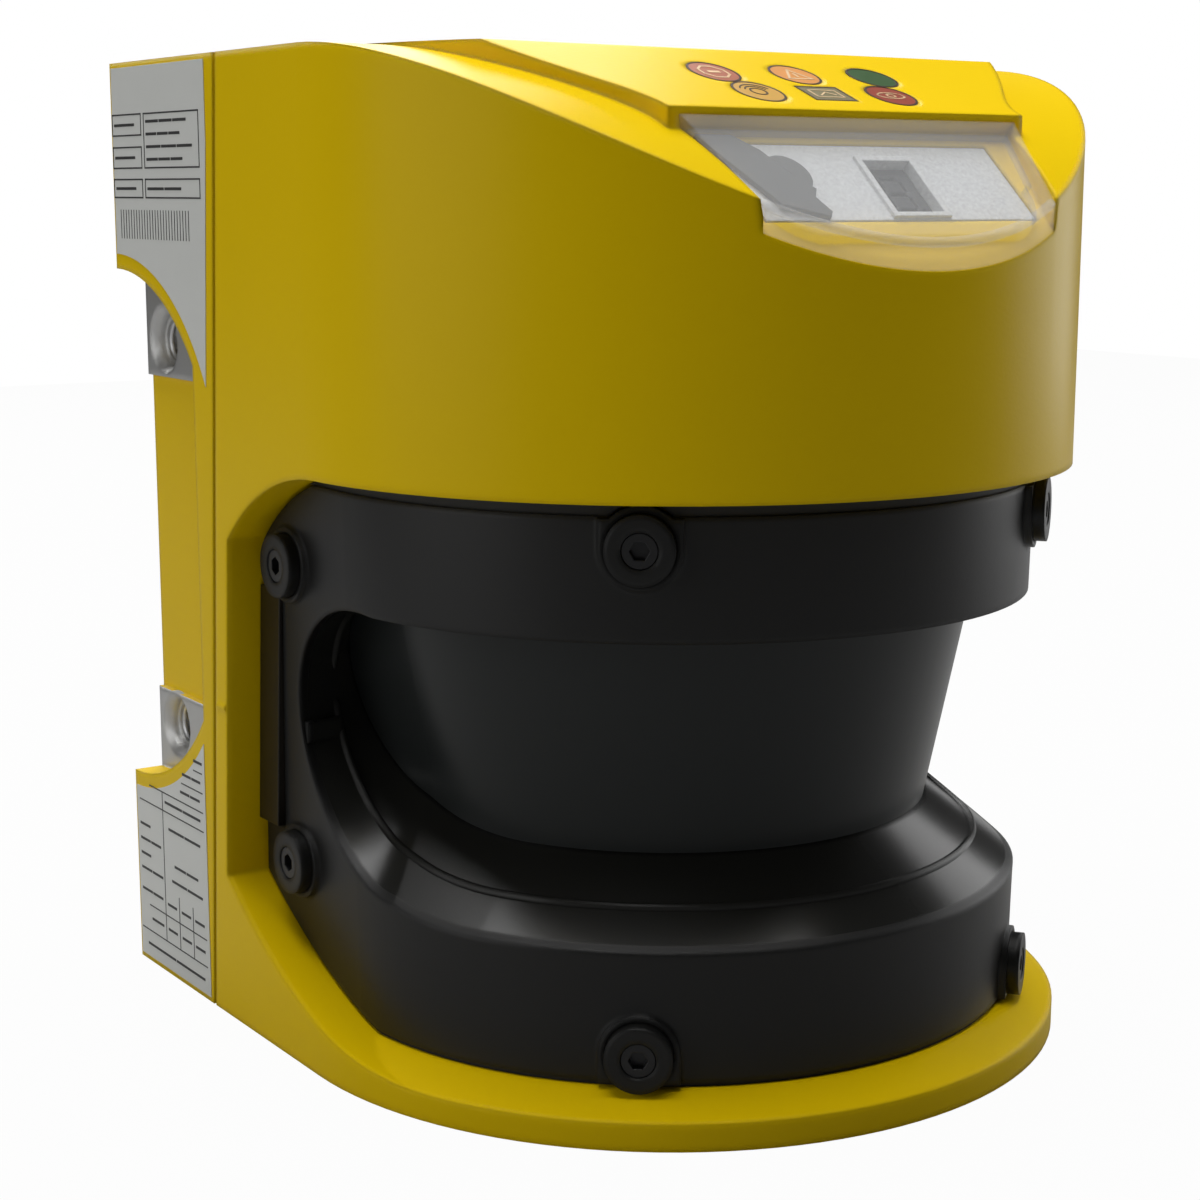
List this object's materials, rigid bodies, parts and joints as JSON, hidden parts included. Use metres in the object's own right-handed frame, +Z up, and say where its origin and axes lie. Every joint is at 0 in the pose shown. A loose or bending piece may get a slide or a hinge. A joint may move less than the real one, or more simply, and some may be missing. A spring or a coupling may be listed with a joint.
{
  "type": "safety laser scanner",
  "caption": "Compact safety laser scanner: painted cast head and rear connection module, black optics cover with a conical dark window, angled display and a spinning mirror inside.",
  "frame": {"origin": "middle of the bounding box's bottom face, on the flat foot", "axes": "+Z up, -Y is the front with the window and the display, +X is the right-hand side seen from the rear"},
  "size_m": [0.1556, 0.16, 0.185],
  "materials": {
    "yellow_paint": "satin paint on a light-alloy casting",
    "black_cover": "satin black, high gloss in the scoop",
    "dark_window": "infrared-clear, nearly black",
    "black_rubber": "matt",
    "black_screw": "black zinc",
    "strip_plastic": "satin",
    "clear_cover": "lightly frosted clear plastic",
    "grey_plate": "satin",
    "silver_plate": "silver grey, speckled",
    "black_part": "matt",
    "circuit_board": "solder mask",
    "indicator": "coloured film windows",
    "clear_plastic": "clear",
    "label_film": "silver grey film",
    "bare_aluminium": "machined",
    "copper": "wound wire",
    "steel": "turned",
    "magnet": "dark",
    "mirror": "coated glass",
    "lens_glass": "clear",
    "brass": "turned"
  },
  "bodies": {
    "housing": {"head_casting": "yellow_paint", "io_housing": "yellow_paint", "seam_gasket": "black_rubber", "module_screws": "steel", "optics_cover": "black_cover", "optics_window": "dark_window", "cover_gaskets": "black_rubber", "cover_bushings": "black_cover", "cover_screws": "black_screw", "side_strips": "strip_plastic", "display_cover": "clear_cover", "display_shade": "grey_plate", "display_bezel": "silver_plate", "digit_module": "black_part", "display_board": "circuit_board", "indicator_lenses": "indicator", "light_guides": "clear_plastic", "label_upper": "label_film", "label_lower": "label_film", "motor_housing": "bare_aluminium", "motor_cap": "bare_aluminium", "motor_coils": "copper", "motor_screws": "steel", "bearings": "steel", "encoder_sensor": "black_part", "optics_plate": "bare_aluminium", "optics_tube": "black_part", "tube_clamp": "steel", "receiver_lens": "lens_glass", "laser_module": "brass", "sender_lens": "lens_glass", "detector_board": "circuit_board", "window_sensors": "black_part", "main_board": "circuit_board", "board_spacers": "steel", "board_screws": "steel", "head_connector": "black_part", "io_connector": "black_part", "io_board": "circuit_board", "io_board_screws": "steel", "system_plug": "black_part", "plug_gasket": "black_rubber", "plug_screws": "steel", "blind_plugs": "black_part", "reference_target": "grey_plate"},
    "rotor": {"drive_shaft": "steel", "rotor_magnet": "magnet", "mirror_carrier": "black_part", "scan_mirror": "mirror", "encoder_disc": "magnet"}
  },
  "joints": [
    {"name": "mirror_spin", "type": "hinge", "parent": "housing", "child": "rotor", "pos_m": [0, -0.013, 0.063], "axis": [0, 0, 1], "continuous": true}
  ]
}
